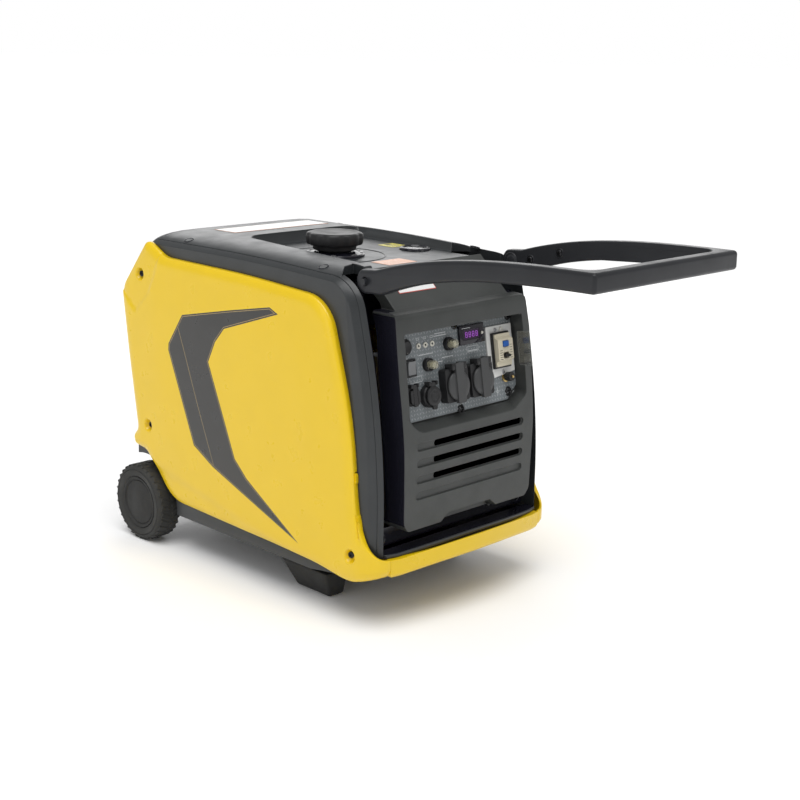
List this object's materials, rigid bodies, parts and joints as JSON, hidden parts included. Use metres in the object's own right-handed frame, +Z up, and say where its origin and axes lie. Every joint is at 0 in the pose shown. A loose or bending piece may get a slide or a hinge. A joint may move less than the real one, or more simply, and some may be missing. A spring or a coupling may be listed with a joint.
{
  "type": "portable inverter generator",
  "caption": "Portable petrol inverter generator with yellow side covers, a recessed control panel, rear wheels and a long pull handle that folds down into a groove round the front panel.",
  "frame": {"origin": "middle of the bounding box at ground level, with the handle drawn out as in the picture", "axes": "+X to the right for someone facing the control panel, +Y from the control panel towards the wheels, +Z up"},
  "size_m": [0.423, 0.984, 0.5797],
  "materials": {
    "yellow_shell": "satin gloss moulded plastic",
    "grey_shell": "fine textured moulded plastic",
    "panel_grey": "fine textured moulded plastic, warmer grey",
    "black_gloss": "glossy moulded plastic",
    "switch_black": "moulded black plastic",
    "control_plate": "printed grey tread pattern",
    "display_glass": "dark glossy window",
    "clear_plastic": "slightly yellow clear plastic",
    "beige_switchgear": "moulded beige plastic",
    "blue_button": "blue moulded button",
    "rubber": "moulded rubber",
    "tyre": "solid rubber tyre",
    "cast_aluminium": "as cast",
    "steel": "bare steel",
    "copper_windings": "varnished copper windings"
  },
  "bodies": {
    "chassis": {"ac_socket_1": "switch_black", "ac_socket_2": "switch_black", "air_filter_box": "switch_black", "alternator_stator": "copper_windings", "axle": "steel", "base_pan": "grey_shell", "battery": "switch_black", "car_socket": "switch_black", "carburettor": "cast_aluminium", "control_plate": "control_plate", "crankcase": "cast_aluminium", "cylinder_block": "cast_aluminium", "dc_socket": "switch_black", "display_module": "display_glass", "exhaust_outlet": "steel", "front_bumper": "yellow_shell", "front_foot_left": "rubber", "front_foot_right": "rubber", "front_frame": "grey_shell", "front_panel": "panel_grey", "fuel_gauge": "switch_black", "fuel_tank": "black_gloss", "handle_channel": "black_gloss", "handle_pin_left": "steel", "handle_pin_right": "steel", "indicator_lights": "clear_plastic", "inverter_module": "cast_aluminium", "muffler": "steel", "rcd_module": "beige_switchgear", "rear_cover": "grey_shell", "recoil_housing": "switch_black", "side_cover_left": "yellow_shell", "side_cover_right": "yellow_shell", "side_frame_left": "grey_shell", "side_frame_right": "grey_shell", "spark_plug": "steel", "top_cover": "grey_shell"},
    "handle": {"handle_bar": "grey_shell"},
    "wheel_left": {"tyre_left": "tyre", "wheel_hub_left": "switch_black"},
    "wheel_right": {"tyre_right": "tyre", "wheel_hub_right": "switch_black"},
    "cap_lift": {"fuel_cap_plug": "rubber"},
    "cap_knob": {"fuel_cap": "switch_black"},
    "socket_lid_1": {"ac_lid_1": "switch_black"},
    "socket_lid_2": {"ac_lid_2": "switch_black"},
    "dc_flap": {"dc_lid": "switch_black"},
    "car_socket_cap": {"car_socket_lid": "switch_black"},
    "breaker_button_1": {"reset_breaker_1": "clear_plastic"},
    "breaker_button_2": {"reset_breaker_2": "clear_plastic"},
    "start_push": {"start_button": "switch_black"},
    "economy_switch": {"eco_rocker": "switch_black"},
    "breaker_cover": {"rcd_cover": "clear_plastic"},
    "breaker_toggle": {"rcd_toggle": "switch_black"},
    "breaker_test": {"rcd_test_button": "blue_button"},
    "earth_knob": {"ground_knob": "switch_black"},
    "engine_shaft": {"crankshaft": "steel", "alternator_rotor": "steel"},
    "starter_reel": {"recoil_reel": "beige_switchgear"},
    "starter_grip": {"recoil_grip": "switch_black"}
  },
  "joints": [
    {"name": "handle_fold", "type": "hinge", "parent": "chassis", "child": "handle", "pos_m": [0, -0.093, 0.5175], "axis": [1, 0, 0], "range_deg": [0, 90]},
    {"name": "wheel_left_spin", "type": "hinge", "parent": "chassis", "child": "wheel_left", "pos_m": [-0.1665, 0.425, 0.0668], "axis": [1, 0, 0], "continuous": true},
    {"name": "wheel_right_spin", "type": "hinge", "parent": "chassis", "child": "wheel_right", "pos_m": [0.1665, 0.425, 0.0668], "axis": [1, 0, 0], "continuous": true},
    {"name": "fuel_cap_lift", "type": "slide", "parent": "chassis", "child": "cap_lift", "axis": [0, 0, 1], "range_m": [0, 0.08]},
    {"name": "fuel_cap_turn", "type": "hinge", "parent": "cap_lift", "child": "cap_knob", "pos_m": [-0.042, 0.112, 0.537], "axis": [0, 0, 1], "continuous": true},
    {"name": "socket_lid_1_swing", "type": "hinge", "parent": "chassis", "child": "socket_lid_1", "pos_m": [-0.017, -0.13854, 0.3806], "axis": [-1, 0, 0], "range_deg": [0, 95], "stiffness_Nm_per_rad": 0.02, "springref_deg": -22.92},
    {"name": "socket_lid_2_swing", "type": "hinge", "parent": "chassis", "child": "socket_lid_2", "pos_m": [0.039, -0.13854, 0.3806], "axis": [-1, 0, 0], "range_deg": [0, 95], "stiffness_Nm_per_rad": 0.02, "springref_deg": -22.92},
    {"name": "dc_flap_swing", "type": "hinge", "parent": "chassis", "child": "dc_flap", "pos_m": [-0.105, -0.13358, 0.36094], "axis": [-1, 0, 0], "range_deg": [0, 95]},
    {"name": "car_socket_cap_swing", "type": "hinge", "parent": "chassis", "child": "car_socket_cap", "pos_m": [-0.069, -0.1367, 0.35997], "axis": [-1, 0, 0], "range_deg": [0, 95]},
    {"name": "breaker_1_push", "type": "slide", "parent": "chassis", "child": "breaker_button_1", "axis": [0, 0.9848, -0.1736], "range_m": [0, 0.002], "stiffness_N_per_m": 400, "springref_m": -0.002},
    {"name": "breaker_2_push", "type": "slide", "parent": "chassis", "child": "breaker_button_2", "axis": [0, 0.9848, -0.1736], "range_m": [0, 0.002], "stiffness_N_per_m": 400, "springref_m": -0.002},
    {"name": "start_push_in", "type": "slide", "parent": "chassis", "child": "start_push", "axis": [0, 0.9848, -0.1736], "range_m": [0, 0.002], "stiffness_N_per_m": 400, "springref_m": -0.002},
    {"name": "economy_rock", "type": "hinge", "parent": "chassis", "child": "economy_switch", "pos_m": [-0.1005, -0.12334, 0.38503], "axis": [1, 0, 0], "range_deg": [-8, 8]},
    {"name": "breaker_cover_swing", "type": "hinge", "parent": "chassis", "child": "breaker_cover", "pos_m": [0.1166, -0.14402, 0.38868], "axis": [0, 0.1736, 0.9848], "range_deg": [-74, 35]},
    {"name": "breaker_toggle_throw", "type": "hinge", "parent": "chassis", "child": "breaker_toggle", "pos_m": [0.0975, -0.13289, 0.37808], "axis": [1, 0, 0], "range_deg": [-15, 15]},
    {"name": "breaker_test_push", "type": "slide", "parent": "chassis", "child": "breaker_test", "axis": [0, 0.9848, -0.1736], "range_m": [0, 0.0018], "stiffness_N_per_m": 400, "springref_m": -0.002},
    {"name": "earth_knob_turn", "type": "hinge", "parent": "chassis", "child": "earth_knob", "pos_m": [0.108, -0.12666, 0.34145], "axis": [0, -0.9848, 0.1736], "continuous": true},
    {"name": "engine_shaft_spin", "type": "hinge", "parent": "chassis", "child": "engine_shaft", "pos_m": [0, 0.204, 0.2], "axis": [1, 0, 0], "continuous": true},
    {"name": "starter_reel_turn", "type": "hinge", "parent": "chassis", "child": "starter_reel", "pos_m": [0.15, 0.204, 0.2], "axis": [1, 0, 0], "range_deg": [0, 600]},
    {"name": "starter_grip_pull", "type": "slide", "parent": "chassis", "child": "starter_grip", "axis": [1, 0, 0], "range_m": [0, 0.45], "stiffness_N_per_m": 20, "springref_m": -0.2}
  ],
  "couplings": [
    {"joint": "starter_reel_turn", "follows": "starter_grip_pull", "rad_per_m": 22.727}
  ]
}
